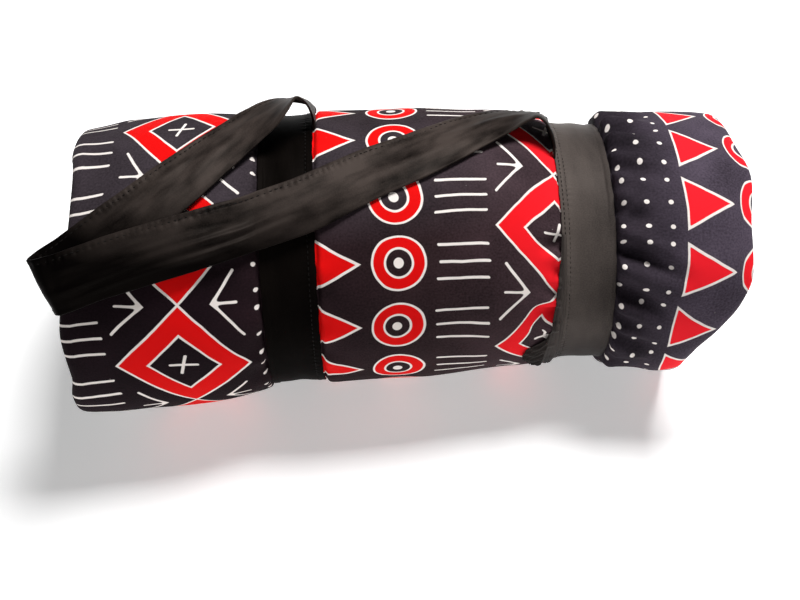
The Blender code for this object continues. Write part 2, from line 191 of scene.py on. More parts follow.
# Places where the cloth was pulled askew as it was rolled and tied: where, how far around the place it is
# felt, and how much further the print lies there along and around the cloth.
# along, around, reach_along, reach_around, pull_along, pull_around
PRINT_TUGS = (
    (-0.172, -14, 0.036, 32, 0, -0.011), (-0.24, -18, 0.022, 16, 0, 0.009),
    (-0.207, -12, 0.022, 18, -0.0045, 0), (-0.228, 72, 0.038, 24, 0, 0.0105),
    (-0.2, 66, 0.034, 26, 0.004, 0), (-0.118, 86, 0.018, 20, 0, -0.004),
    (-0.01, 26, 0.026, 10, 0.002, -0.003), (-0.008, 90, 0.03, 22, 0.003, -0.001),
    (0.06, 92, 0.03, 17, 0, -0.006), (0.104, 49, 0.011, 8, 0, 0.007), (0.165, -3, 0.025, 12, 0, 0.004),
    (0.16, 60, 0.025, 22, 0, 0.003), (0.155, 113, 0.034, 12, 0, -0.009), (0.15, 0, 0.012, 34, -0.0022, 0),
    (0.214, 92, 0.048, 30, 0.011, 0.0015), (0.23, -26, 0.028, 28, 0.011, -0.005),
    (0.093, 76, 0.011, 7, 0.0085, 0.001), (0.097, 84, 0.012, 8, 0.0075, 0.008),
    (0.082, 88, 0.012, 8, 0.0025, 0),
)

draw = np.random.default_rng(11)


# Curves and surfaces.

def cubic(first, last, first_slope, last_slope, t):
    """A stretch of smooth curve from t = 0 to t = 1; the slopes are per unit of t."""
    return (first * (1 + 2 * t) * (1 - t) ** 2 + last * t * t * (3 - 2 * t)
            + first_slope * t * (1 - t) ** 2 - last_slope * t * t * (1 - t))


def smooth_column(rows, column, at):
    """Reads one column of a table as a smooth curve through its rows, without overshoot between them: a
    cubic on each stretch, whose slope at a row is the harmonic mean of the slopes on both sides."""
    x = np.array([row[0] for row in rows], float)
    y = np.array([row[column] for row in rows], float)
    step, rise = np.diff(x), np.diff(y)
    slope = rise / step
    tangent = np.zeros(len(x))
    both = slope[1:] * slope[:-1] > 0
    mean = 2 * slope[1:] * slope[:-1] / np.where(both, slope[1:] + slope[:-1], 1.0)
    tangent[1:-1] = np.where(both, mean, 0.0)
    tangent[0], tangent[-1] = slope[0], slope[-1]
    at = np.clip(np.asarray(at, float), x[0], x[-1])
    i = np.clip(np.searchsorted(x, at) - 1, 0, len(step) - 1)
    return cubic(y[i], y[i + 1], step[i] * tangent[i], step[i] * tangent[i + 1], (at - x[i]) / step[i])


def unit(vectors):
    """Vectors of length 1 that point the same ways."""
    return vectors / np.linalg.norm(vectors, axis=-1, keepdims=True)


def fade(t):
    """Rises smoothly from 0 to 1 as t goes from 0 to 1."""
    t = np.clip(t, 0.0, 1.0)
    return t * t * (3 - 2 * t)


def bump(t):
    """A round hump: 1 at t = 0, nearly 0 beyond t = 2."""
    return np.exp(-t * t)


def turn_difference(a, b):
    """The angle from b to a, between -180 and 180 degrees."""
    return (a - b + 180.0) % 360.0 - 180.0


def end_reach(table, around):
    """How far the outer turn reaches at this angle: a smooth curve through the table's rows, closed by
    repeating them a whole turn earlier and later."""
    closed = tuple((a - 360, x) for a, x in table) + table + tuple((a + 360, x) for a, x in table)
    return smooth_column(closed, 1, (np.asarray(around, float) + 180.0) % 360.0 - 180.0)


def off_bands(along):
    """The distance along the roll from the nearest band's edge, 0 under a band."""
    gaps = [np.maximum(np.abs(along - middle) - BAND_WIDTH / 2, 0.0) for middle in BANDS.values()]
    return np.minimum(*gaps)


def ripples(along, around):
    """Gentle unevenness of hand-rolled cloth: a sum of slow sine waves that run in several directions."""
    return sum(height * np.sin(along * along_rate + np.radians(around) * around_rate + start)
               for along_rate, around_rate, start, height in ROLL_WAVES)


ROLL_WAVES = tuple((draw.uniform(20, 90) * draw.choice((-1, 1)), draw.uniform(2, 9), draw.uniform(0, 6.3),
                    draw.uniform(0.00008, 0.00022)) for _ in range(14))

# The larger creases, and small puckers beside the bands, drawn once.
# band_edge, around, reach, half_angle, depth, lean
ALL_CREASES = tuple((edge, *crease) for edge, creases in CREASES.items() for crease in creases) + tuple(
    (middle + side * (BAND_WIDTH / 2 + 0.0004), around + draw.uniform(-4, 4),
     side * draw.uniform(0.007, 0.022), draw.uniform(1.3, 2.6), draw.uniform(0.0003, 0.0011),
     draw.uniform(-4, 4))
    for middle in BANDS.values() for side in (-1, 1) for around in range(-130, 226, 9))


def flap_drop(around, step):
    """How much lower the roll is beyond the strip's outer end: one pressed thickness, lost over FLAP_FADE
    degrees."""
    past_end = np.where(around < FLAP_AROUND + 360.0, (around - FLAP_AROUND) % 360.0, 360.0)
    return step * (1 - fade(past_end / FLAP_FADE))


def cloth_radius(along, around):
    """The roll's radius: the section's own, less the step beyond the outer end, less the creases and puckers
    that start at the bands and die out along the roll, plus the slow ripples."""
    along, around = np.broadcast_arrays(np.asarray(along, float), np.asarray(around, float))
    radius = smooth_column(SECTIONS, 3, along)
    away_from_band = off_bands(along)
    free = away_from_band > 0.0005
    radius = radius - flap_drop(around, np.where(free, FLAP_STEP, BAND_STEP))
    relief = ripples(along, around) * fade(away_from_band / 0.012)
    for edge, angle, reach, half_angle, depth, lean in ALL_CREASES:
        away = (along - edge) / reach
        near = (away > -0.05) & (away < 1.0)
        across = turn_difference(around, angle + lean * away) / half_angle
        ridges = 0.45 * bump((np.abs(across) - 1.9) / 0.8)
        relief = relief - np.where(near, depth * (1 - fade(away)) * (bump(across) - ridges), 0.0)
    return radius + relief * free


def smooth_radius(along):
    """The roll's radius as it would run without the grooves under the bands: the curve through the sections
    that lie beside the bands only."""
    return smooth_column([row for row in SECTIONS if off_bands(row[0]) > 0.0005], 3, along)


def place(along, around, radius, floor=0.0):
    """The point at this place along and around the roll, no lower than the floor: a circle's point, radius
    times the angle's sine and cosine, about the section's own middle."""
    a = np.radians(around)
    y = smooth_column(SECTIONS, 1, along) - radius * np.sin(a)
    z = smooth_column(SECTIONS, 2, along) + radius * np.cos(a)
    return np.stack(np.broadcast_arrays(along, y, np.maximum(z, floor)), -1)


def with_end_shape(along, around):
    """Moves a section's point along the roll, so that the ends follow their own outlines: by a share, which
    grows from 0 to 1 over the end zone, of the way from the last section to the end's groove there."""
    share = fade((np.abs(along) - END_ZONE[0]) / (END_ZONE[1] - END_ZONE[0]))
    left = along + share * (end_reach(LEFT_END, around) + GROOVE_DEPTH + END_ZONE[1])
    right = along + share * (end_reach(RIGHT_END, around) - GROOVE_DEPTH - END_ZONE[1])
    return np.where(along < 0, left, right)


def print_place(along, around):
    """Where a point of the outer turn lies on the printed cloth, in metres along and around from a ring's
    middle: its place on the roll, turned into cloth by the repeat's angle, less the column's slip and
    stretch, plus the pull of each tug, which dies out with the distance from it."""
    slip, stretch, pull = (smooth_column(PRINT_SLIP, k, along) for k in (1, 2, 3))
    turned = around - FIRST_RING_AROUND
    print_along = along - FIRST_RING_ALONG + pull
    print_around = (turned * (1 - stretch) - slip) / REPEAT_DEGREES * REPEAT_AROUND
    for there, angle, reach_along, reach_around, pull_along, pull_around in PRINT_TUGS:
        turned_away = turn_difference(around, angle) / reach_around
        felt = bump((along - there) / reach_along) * bump(turned_away ** 2)
        print_along = print_along + pull_along * felt
        print_around = print_around + pull_around * felt
    return np.stack([print_along, print_around], -1)


# Meshes.

def add_piece(name, mesh, material):
    """Adds a mesh to the scene as a piece of one material."""
    mesh.materials.append(material)
    piece = bpy.data.objects.new(name, mesh)
    bpy.context.scene.collection.objects.link(piece)
    return piece


class Cloth:
    """Gathers grids of points into one closed mesh, and keeps each corner's place on the flat cloth."""

    def __init__(self):
        self.points, self.faces, self.flat, self.plain = [], [], [], []
        self.count = 0

    def add_points(self, points):
        """Adds points of any grid shape, and returns their numbers in that shape."""
        points = np.asarray(points, float)
        shape = points.shape[:-1]
        numbers = self.count + np.arange(int(np.prod(shape))).reshape(shape)
        self.points.append(points.reshape(-1, 3))
        self.count += numbers.size
        return numbers

    def add_grid(self, numbers, flat, plain=None):
        """Adds a face between each four neighbours of a grid of point numbers."""
        plain = np.zeros(numbers.shape) if plain is None else np.broadcast_to(plain, numbers.shape)

        def corners(values):
            """Each face's four corners: every grid value with its neighbours below, across and beside."""
            around = (values[:-1, :-1], values[1:, :-1], values[1:, 1:], values[:-1, 1:])
            return np.stack(around, 2).reshape(-1, 4, *values.shape[2:])

        self.faces.append(corners(numbers))
        self.flat.append(corners(flat))
        self.plain.append(corners(plain))

    def make(self, name, material):
        """Makes the mesh's object, with all faces of the closed surface turned outwards."""
        points = np.concatenate(self.points)
        faces, flat, plain = (np.concatenate(part) for part in (self.faces, self.flat, self.plain))
        # a face with two corners in one point is a triangle, and one with fewer than three is left out
        same = faces == np.roll(faces, -1, axis=1)
        keep = ~same
        sizes = keep.sum(axis=1)
        whole = sizes >= 3
        keep &= whole[:, None]
        sizes = sizes[whole]
        mesh = bpy.data.meshes.new(name)
        mesh.vertices.add(len(points))
        mesh.vertices.foreach_set("co", points.ravel())
        mesh.loops.add(int(keep.sum()))
        mesh.loops.foreach_set("vertex_index", faces[keep].astype(np.int32))
        mesh.polygons.add(len(sizes))
        starts = np.concatenate([[0], np.cumsum(sizes)[:-1]]).astype(np.int32)
        mesh.polygons.foreach_set("loop_start", starts)
        mesh.uv_layers.new(name="cloth").data.foreach_set("uv", flat[keep].ravel())
        mesh.attributes.new("plain", "FLOAT", "CORNER").data.foreach_set("value", plain[keep])
        mesh.update(calc_edges=True)
        builder = bmesh.new()
        builder.from_mesh(mesh)
        bmesh.ops.recalc_face_normals(builder, faces=builder.faces)
        if builder.calc_volume(signed=True) < 0:
            bmesh.ops.reverse_faces(builder, faces=builder.faces)
        builder.to_mesh(mesh)
        builder.free()
        mesh.shade_smooth()
        return add_piece(name, mesh, material)


def roll_stations():
    """Places of the sections along the roll: close beside the bands, about 2 mm apart elsewhere."""
    near = np.array([0, 0.0004, 0.0008, 0.0013, 0.0020, 0.0030, 0.0043, 0.0060])
    places = [-END_ZONE[1], END_ZONE[1]]
    for middle in BANDS.values():
        half = BAND_WIDTH / 2
        places += [middle + side * (half + away) for side in (-1, 1) for away in near]
        places += [middle + share * half for share in (-0.8, -0.4, 0, 0.4, 0.8)]
    places = np.sort(np.array(places))
    stations = [places[:1]]
    for a, b in zip(places, places[1:]):
        hidden = off_bands((a + b) / 2) == 0
        parts = 1 if hidden else max(1, math.ceil((b - a) / 0.0021 - 0.3))
        stations.append(a + (b - a) * np.arange(1, parts + 1) / parts)
    return np.concatenate(stations)


def build_roll(material):
    """The blanket roll: its round side is a grid of sections and angles, closed at the strip's outer end by
    that end's layered edge, and each end of the roll is a spiral of folded edges."""
    cloth = Cloth()
    along = roll_stations()[:, None]
    around = (FLAP_AROUND + 360.0 * np.arange(COLUMNS + 1) / COLUMNS)[None, :]
    floor = np.where(off_bands(along) <= 0.0005, BAND_BED, 0.0)
    radius = cloth_radius(along, around)
    moved = with_end_shape(along, around)
    side = cloth.add_points(place(moved, around, radius, floor))
    outer, inner = radius[:, -1:], radius[:, :1]
    through, out, hem = np.array(TURN_EDGE).T[:, None, :]
    edge_radius = outer + (inner - outer) * through
    bulge = np.degrees(0.35 * (outer - inner) * out / edge_radius)
    edge_moved = with_end_shape(along, np.full_like(along, FLAP_AROUND))
    edge_moved = np.broadcast_to(edge_moved, edge_radius.shape)
    edge_points = place(edge_moved, FLAP_AROUND + bulge, edge_radius, floor)
    # at both ends the strip's pressed outer edge stands out of the rim like the other turns
    stand_out = GROOVE_DEPTH * 0.8 * out[0]
    edge_points[0, :, 0] -= stand_out
    edge_points[-1, :, 0] += stand_out
    edge = cloth.add_points(edge_points)
    flat = print_place(moved, around - 360.0)
    cloth.add_grid(side, flat)
    edge_numbers = np.concatenate([side[:, -1:], edge, side[:, :1]], axis=1)
    edge_flat = np.repeat(flat[:, -1:], edge_numbers.shape[1], axis=1).copy()
    edge_flat[..., 1] += np.linspace(0, FLAP_STEP, edge_numbers.shape[1])
    edge_plain = np.concatenate([[0], hem[0], [1]])
    cloth.add_grid(edge_numbers, edge_flat, edge_plain)
    for row, table, outwards in ((0, LEFT_END, -1), (-1, RIGHT_END, 1)):
        build_end(cloth, np.append(side[row], edge[row]), radius[row], flat[row], table, outwards)
    return cloth.make("rolled_blanket", material)


def build_end(cloth, rim, rim_radius, rim_flat, table, outwards):
    """One wound end. The groove between two turns is a spiral whose radius grows evenly with the angle; each
    turn between its outer and its inner groove bulges out along the roll as TURN_EDGE says."""
    steps = round(WRAPS * COLUMNS)
    last_turn = steps - COLUMNS
    station = outwards * END_ZONE[1]
    section = float(smooth_column(SECTIONS, 3, station))
    mean_reach = float(np.mean(end_reach(table, np.arange(0, 360, 15))))
    rate = (section - FLAP_STEP - CORE_RADIUS) / last_turn
    step = np.arange(steps + 1)
    angle = FLAP_AROUND - 360.0 * (steps - step) / COLUMNS
    spiral = CORE_RADIUS + rate * step

    def end_points(i, radius, out):
        """Points of the wound end at these steps and radii: out is 0 in a groove and 1 on a ridge. The end's
        outline fades to its mean reach towards the heart, with the square of the radius."""
        share = (radius / section) ** 2
        reach = mean_reach + (end_reach(table, angle[i]) - mean_reach) * share
        turn = i / COLUMNS
        sway = 0.0016 * np.sin(2.3 * turn + outwards) + 0.0012 * np.sin(np.radians(angle[i]) * 2 + turn)
        # the folded edges of the turns are a little uneven, each in its own way
        arc = angle[i] * np.radians(radius)
        uneven = 0.0007 * np.sin(arc / 0.021 + 1.7 * np.floor(turn)) + 0.0004 * np.sin(arc / 0.0083 + turn)
        uneven = uneven * out * (1 - bump((radius - section) / 0.006))
        depth = GROOVE_DEPTH * (1 - out) + 0.004 * (1 - share) - uneven
        moved = reach + outwards * (sway * (1 - share) - depth)
        # the turns keep the middle line of the section that the rim reaches at this angle
        rim_along = station + (end_reach(table, angle[i]) - outwards * GROOVE_DEPTH - station) * share
        points = place(rim_along, angle[i], radius)
        points[..., 0] = moved
        return points

    inner_grooves = end_points(step[:last_turn], spiral[:last_turn], np.zeros(last_turn))
    groove = np.concatenate([cloth.add_points(inner_grooves), rim[:COLUMNS + 1]])
    i = np.arange(COLUMNS, steps)[:, None]
    outer = np.where(i < last_turn, spiral[i], np.append(spiral[:last_turn], rim_radius)[i])
    through, out, hem = np.array(TURN_EDGE).T[:, None, :]
    radius = outer + (spiral[i - COLUMNS] - outer) * through
    ridge = end_points(np.broadcast_to(i, radius.shape), radius, np.broadcast_to(out, radius.shape))
    numbers = cloth.add_points(ridge)
    numbers = np.vstack([numbers, rim[COLUMNS + 1:]])
    all_steps = np.arange(COLUMNS, steps + 1)
    grid = np.column_stack([groove[all_steps], numbers, groove[all_steps - COLUMNS]])
    # the printed cloth runs on over the fold: its place is the rim's, and then the length of the way over it
    inner_angle = np.radians(angle[:last_turn + 1])
    inner_length = spiral[:last_turn + 1] * np.gradient(inner_angle)
    way = np.cumsum(inner_length) / OUTER_RADIUS / math.radians(REPEAT_DEGREES) * REPEAT_AROUND
    way = way - way[-1] + rim_flat[0, 1]
    wound = np.concatenate([way[:-1], rim_flat[:, 1]])
    out_steps = np.diff(np.concatenate([[0], out[0], [0]])) * GROOVE_DEPTH
    through_steps = np.diff(np.concatenate([[0], through[0], [1]])) * TURN_THICKNESS
    over = np.concatenate([[0], np.cumsum(np.hypot(out_steps, through_steps))])
    rim_along = np.concatenate([np.full(last_turn, rim_flat[0, 0]), rim_flat[:, 0]])
    flat = np.stack([rim_along[all_steps][:, None] + outwards * over[None, :],
                     np.broadcast_to(wound[all_steps][:, None], grid.shape)], -1)
    cloth.add_grid(grid, flat, np.concatenate([[0], hem[0], [1]])[None, :])
    # the heart of the roll: the first turn's hole is closed by a small sunk plug of cloth
    first = np.concatenate([groove[:COLUMNS + 1], numbers[0]])
    first = np.append(first, first[:1])
    start = FLAP_AROUND - 360.0 * steps / COLUMNS
    middle = place(np.array(station), np.array(start - 90.0), np.array(0.6 * CORE_RADIUS))
    middle[0] = mean_reach - outwards * 0.006
    points = np.concatenate(cloth.points)
    ring = middle + (points[first[:-1]] - middle) * 0.5
    ring[:, 0] = mean_reach - outwards * 0.0045
    ring_numbers = cloth.add_points(ring)
    ring_numbers = np.append(ring_numbers, ring_numbers[:1])
    core = np.full(len(first), cloth.add_points(middle[None, :])[0])
    plug = np.stack([first, ring_numbers, core])
    plug_flat = np.zeros((*plug.shape, 2))
    cloth.add_grid(plug, plug_flat, 1.0)


# Satin bands.

def band_radius(along, around):
    """The roll's radius under a band: the section's own, less the small step beyond the strip's outer end,
    which the band bridges over the first 5 degrees."""
    past = (around - FLAP_AROUND) % 360.0
    return smooth_column(SECTIONS, 3, along) - BAND_STEP * (1 - fade(past / FLAP_FADE)) * fade(past / 5.0)


HEM_RISE = 0.00045         # how much higher a band's doubled hem stands

# How each band is finished: the hems' width on its left and right, and where its sewing lines run, measured
# from the left and from the right edge.
BAND_FINISH = {
    "band_left": dict(left_hem=0.0040, right_hem=0.0052, lines=(("right", 0.0050),)),
    "band_right": dict(left_hem=0.0052, right_hem=0.0036, lines=(("left", 0.0022), ("left", 0.0054))),
}


def sewing_puckers(distance, length, pitch, height, seed):
    """Puckers of a sewn hem: short waves along the seam, uneven in height, that die out to both sides of
    it."""
    swing = np.sin(length * 37.0 + seed) + np.sin(length * 91.0 + 2 * seed)
    waves = np.sin(2 * math.pi * length / pitch + 1.9 * swing)
    waves = waves + 0.6 * np.sin(2 * math.pi * length / (2.3 * pitch) + seed - swing)
    uneven = 0.6 + 0.4 * np.sin(length * 53.0 + 3 * seed) * np.sin(length * 17.0 + seed)
    return height * waves * uneven * bump(distance / (0.0024 + 0.0009 * swing / 2))


def band_height(name, across, around):
    """How high the satin's outer face stands over the roll: its thickness, the doubled hems, the pull of the
    sewing lines with their puckers, and slow soft waves."""
    finish = BAND_FINISH[name]
    seed = 1.3 + 2.1 * (name == "band_right")
    half = BAND_WIDTH / 2
    from_left, from_right = across + half, half - across
    length = np.radians(around) * SATIN_ROUND
    height = BAND_THICKNESS + 0 * (across + around)
    for past_hem in (from_left - finish["left_hem"], from_right - finish["right_hem"]):
        height = height + HEM_RISE * (1 - fade(past_hem / 0.0006 + 0.5))
    for side, offset in finish["lines"]:
        distance = (from_left if side == "left" else from_right) - offset
        height = height - 0.00028 * bump(distance / 0.0006)
        height = height + sewing_puckers(distance, length, 0.0046, 0.00020, seed + offset * 900)
    soft = (0.00036 * np.sin(across / 0.0052 + 1.9 * np.sin(length / 0.055 + seed))
            + 0.00034 * np.sin(across / 0.0095 - length / 0.034 + seed)
            + 0.00020 * np.sin(across / 0.0029 + length / 0.061 + 2 * seed) * np.sin(length / 0.027 + seed))
    return height + soft * fade(np.minimum(from_left, from_right) / 0.006)


def piece_name(node):
    """The name of the band that stands for a node: left_band for band_left."""
    return "_".join(reversed(node.split("_")))


def build_band(name, middle, material):
    """A flat ring of satin: its outer face is a grid across its width and around the roll, its inner face
    lies just clear of the roll, and rounded edges join them."""
    half = BAND_WIDTH / 2
    around = FLAP_AROUND + 360.0 * np.arange(BAND_COLUMNS + 1) / BAND_COLUMNS
    share = np.linspace(-1, 1, 53)
    across = half * (0.75 * share + 0.25 * np.sin(share * math.pi / 2))
    wave = 0.00018 * np.sin(np.radians(around) * 23) + 0.00012 * np.sin(np.radians(around) * 61)

    def ring(offset, height, in_step):
        """One ring around the roll, this far across the band and this high over it; its edge waves a
        little, in step with the whole band or against it."""
        along = middle + np.broadcast_to(offset, around.shape) + in_step * wave
        base = band_radius(along, around)
        return place(along, around, base + height, np.where(height > 0.0006, 0.0, BAND_BED - GAP))

    def rounded_edge(side):
        """The ring that rounds off an edge, about half way up between the two faces."""
        height = band_height(name, np.full_like(around, side * half), around)
        return ring(side * (half + 0.00012), 0.55 * height + 0.45 * GAP, side)

    inner = half * np.array([0.985, 0.5, 0.0, -0.5, -0.985])
    rings = [ring(x, band_height(name, np.full_like(around, x), around), x / half) for x in across]
    rings += [rounded_edge(1.0), *(ring(x, np.full_like(around, GAP), x / half) for x in inner)]
    rings += [rounded_edge(-1.0)]
    cloth = Cloth()
    numbers = cloth.add_points(np.stack(rings)[:, :-1])
    numbers = np.vstack([numbers, numbers[:1]])
    numbers = np.column_stack([numbers, numbers[:, :1]])
    widths = np.concatenate([across, [half], inner, [-half], across[:1]])
    lengths = np.radians(around) * SATIN_ROUND
    flat = np.stack(np.meshgrid(widths, lengths, indexing="ij"), -1)
    cloth.add_grid(numbers, flat)
    return cloth.make(piece_name(name), material)


# Carry strap.

STRAP_SEAM = 0.0034        # the sewing line's distance from the strap's far edge
STRAP_HEM_RISE = 0.00022   # how far each face rises at the hem, and sinks in the sewing line
SHEET_EDGE = 0.0005        # how far a sheet's rounded edges stand out


def strap_rows(step):
    """The carry strap's rows, read as smooth curves at even steps along its length."""
    rows = np.array(STRAP)
    points = place(rows[:, 0], rows[:, 1], smooth_radius(rows[:, 0]) + rows[:, 2])
    length = np.concatenate([[0.0], np.cumsum(np.linalg.norm(np.diff(points, axis=0), axis=1))])
    at = np.linspace(0.0, length[-1], round(length[-1] / step) + 1)
    tangent = np.gradient(rows, length, axis=0)
    i = np.clip(np.searchsorted(length, at) - 1, 0, len(length) - 2)
    stretch = (length[i + 1] - length[i])[:, None]
    t = (at - length[i])[:, None] / stretch
    return cubic(rows[i], rows[i + 1], stretch * tangent[i], stretch * tangent[i + 1], t), at


# Long soft folds of the strap: where they start and end along it, where they run across its width at both
# ends (-0.5 is the far edge, 0.5 the near one), how wide and how high they are.
# start, end, across_start, across_end, width, height
STRAP_FOLDS = (
    (0.255, 0.45, 0.16, 0.02, 0.07, 0.0024), (0.265, 0.47, 0.34, 0.2, 0.06, 0.0018),
    (0.3, 0.4, -0.02, -0.1, 0.06, 0.0011), (0.27, 0.35, -0.2, -0.22, 0.07, 0.0009),
    (0.14, 0.25, 0.1, 0.02, 0.12, 0.0014), (0.06, 0.15, -0.1, 0.14, 0.14, 0.0012),
    (0.11, 0.21, -0.24, -0.14, 0.07, 0.0008), (0.5, 0.6, 0.1, 0.18, 0.12, 0.0011),
    (0.55, 0.64, -0.08, 0.05, 0.1, 0.001), (0.4, 0.56, 0.02, 0.14, 0.15, 0.0009),
)


def strap_relief(share, length):
    """How far the satin strap stands off its smooth path: long folds, soft waves and the hem's puckers."""
    relief = 0 * (share + length)
    for start, end, across_start, across_end, width, height in STRAP_FOLDS:
        way = (length - start) / (end - start)
        rise = fade(way / 0.25) * fade((1 - way) / 0.35)
        middle = across_start + (across_end - across_start) * way + 0.02 * np.sin(length * 60 + height * 9000)
        relief = relief + height * rise * bump((share - middle) / width)
    relief = relief + 0.00045 * np.sin(length / 0.0135 + share * 5.0 + 1.5 * np.sin(length / 0.031))
    relief = relief * fade((0.5 - np.abs(share)) / 0.10)
    hem = (share + 0.5) * STRAP_WIDTH - STRAP_SEAM
    return relief + sewing_puckers(hem, length, 0.0048, 0.00050, 0.7)


def strap_half_thickness(share):
    """Half the strap's thickness: more at the doubled hem on its far edge, less in its sewing line."""
    hem = (share + 0.5) * STRAP_WIDTH - STRAP_SEAM
    rise = STRAP_HEM_RISE * (1 - fade(hem / 0.0007 + 0.5)) - STRAP_HEM_RISE * bump(hem / 0.0006)
    return STRAP_THICKNESS / 2 + rise


def strap_faces(shares, rows, length):
    """The strap's two faces: its middle surface, moved along its normal by the relief and half the
    thickness."""
    along, around, lift, turn, rise = (rows[:, k][:, None] for k in range(5))
    share = shares[None, :]
    radius = smooth_radius(along) + lift
    flat = np.sqrt(np.maximum(STRAP_WIDTH ** 2 - rise ** 2, 0.0))
    here = along + flat * share * np.cos(np.radians(turn))
    down = np.degrees(flat * share * np.sin(np.radians(turn)) / radius)
    surface = place(here, around + down, smooth_radius(here) + lift + rise * share)
    normal = unit(np.cross(np.gradient(surface, axis=0), np.gradient(surface, axis=1)))
    # the relief always lifts the cloth away from the roll, on the turned-back leg too
    outwards = surface - place(here, around + down, 0 * here)
    facing = np.sign(np.einsum("ijk,ijk->ij", normal, outwards))[..., None]
    relief = strap_relief(share, length[:, None])[..., None]
    middle = surface + normal * facing * relief
    half = strap_half_thickness(share)[..., None] + 0 * relief
    return middle + normal * half, middle - normal * half, middle


def make_sheet(name, upper, lower, widths, length, material):
    """A sheet of cloth: both its faces on one grid, joined by rounded edges and closed at its ends."""
    middle = (upper + lower) / 2
    sideways = unit(np.gradient(middle, axis=1))
    far = middle[:, :1] - sideways[:, :1] * SHEET_EDGE
    near = middle[:, -1:] + sideways[:, -1:] * SHEET_EDGE
    loop = np.concatenate([upper, near, lower[:, ::-1], far], axis=1)
    cloth = Cloth()
    numbers = cloth.add_points(loop)
    numbers = np.column_stack([numbers, numbers[:, :1]])
    round_widths = np.concatenate([widths, widths[-1:], widths[::-1], widths[:1], widths[:1]])
    cloth.add_grid(numbers, np.stack(np.broadcast_arrays(round_widths[None, :], length[:, None]), -1))
    count = len(widths)
    for row in (0, -1):
        ring = numbers[row]
        caps = np.stack([ring[:count], ring[count + 1:2 * count + 1][::-1]])
        cloth.add_grid(caps if row == 0 else caps[::-1], np.zeros((*caps.shape, 2)))
        # the rounded edges' middle points close the caps as thin triangles
        for a, b, c in ((count - 1, count, count + 1), (0, -2, 2 * count)):
            cloth.add_grid(ring[[[a, b], [c, b]]], np.zeros((2, 2, 2)))
    return cloth.make(name, material)


def build_strap(material):
    """The carry strap; its faces are a little narrower near its edges than in the middle."""
    rows, length = strap_rows(STRAP_ROW)
    share = np.linspace(-1, 1, 45)
    share = 0.5 * (0.8 * share + 0.2 * np.sin(share * math.pi / 2))
    upper, lower, _ = strap_faces(share, rows, length)
    return make_sheet("satin_carry_strap", upper, lower, share * STRAP_WIDTH, length, material)


# The right band's slack: at the lower front its left hem wanders off the band, and gathered satin shows
# beyond it.
# around, how far the hem wanders, how far the gathers reach
SLACK = (
    (38, 0.0004, 0.0005), (50, 0.002, 0.0021), (62, 0.0036, 0.0037), (74, 0.0052, 0.0053),
    (84, 0.0066, 0.007), (91, 0.0074, 0.011), (93, 0.0076, 0.0155), (95, 0.0078, 0.0202),
    (97, 0.008, 0.0236), (100, 0.0082, 0.0256), (104, 0.0084, 0.0252), (109, 0.0084, 0.0212),
    (116, 0.008, 0.015), (126, 0.0062, 0.0086), (138, 0.0006, 0.0007),
)


def build_slack_satin(material):
    """The right band's gathered slack: across it runs from the band to the gathers' rim, and along it around
    the roll. It stands on the roll, steps down from the hem to the gathers, and its pleats are slanting
    waves with sharp ridges that grow towards the rim."""
    around = np.linspace(SLACK[0][0], SLACK[-1][0], 230)[:, None]
    share = np.linspace(0.0, 1.0, 80)[None, :] ** 0.9
    hem = smooth_column(SLACK, 1, around)
    reach = smooth_column(SLACK, 2, around)
    edge = BANDS["band_right"] - BAND_WIDTH / 2
    start = 0.0024         # how far in on the band the sheet starts
    out = share * (reach + start) - start
    along = edge - out
    on_band = band_radius(np.maximum(along, edge), around) + 0.0024
    on_roll = cloth_radius(np.minimum(along, edge - 0.0006), around)
    on_roll = np.maximum(on_roll, smooth_radius(along)) + 0.0012
    beyond = fade((out - hem) / 0.0012)
    lines = bump((hem - 0.0014 - out) / 0.0004) + bump((hem - 0.0044 - out) / 0.0004)
    length = np.radians(around) * SATIN_ROUND
    slant = length / 0.0021 - out / 0.0040
    pleats = (1 - np.abs(np.sin(slant + 0.9 * np.sin(out / 0.0060)))) * 0.0021
    pleats = pleats + (1 - np.abs(np.sin(1.6 * slant + 1.2 * np.sin(out / 0.0034) + 1.0))) * 0.0010
    radius = on_band + (on_roll - on_band) * fade((out + 0.0010) / 0.0016)
    radius = radius - 0.00035 * lines * fade((hem - 0.003) / 0.002) + beyond * (pleats - 0.0006)
    faces = (place(along, around, radius + side * 0.0003) for side in (1, -1))
    return make_sheet("slack_satin", *faces, share[0] * 0.03, length[:, 0], material)


# Stitches.

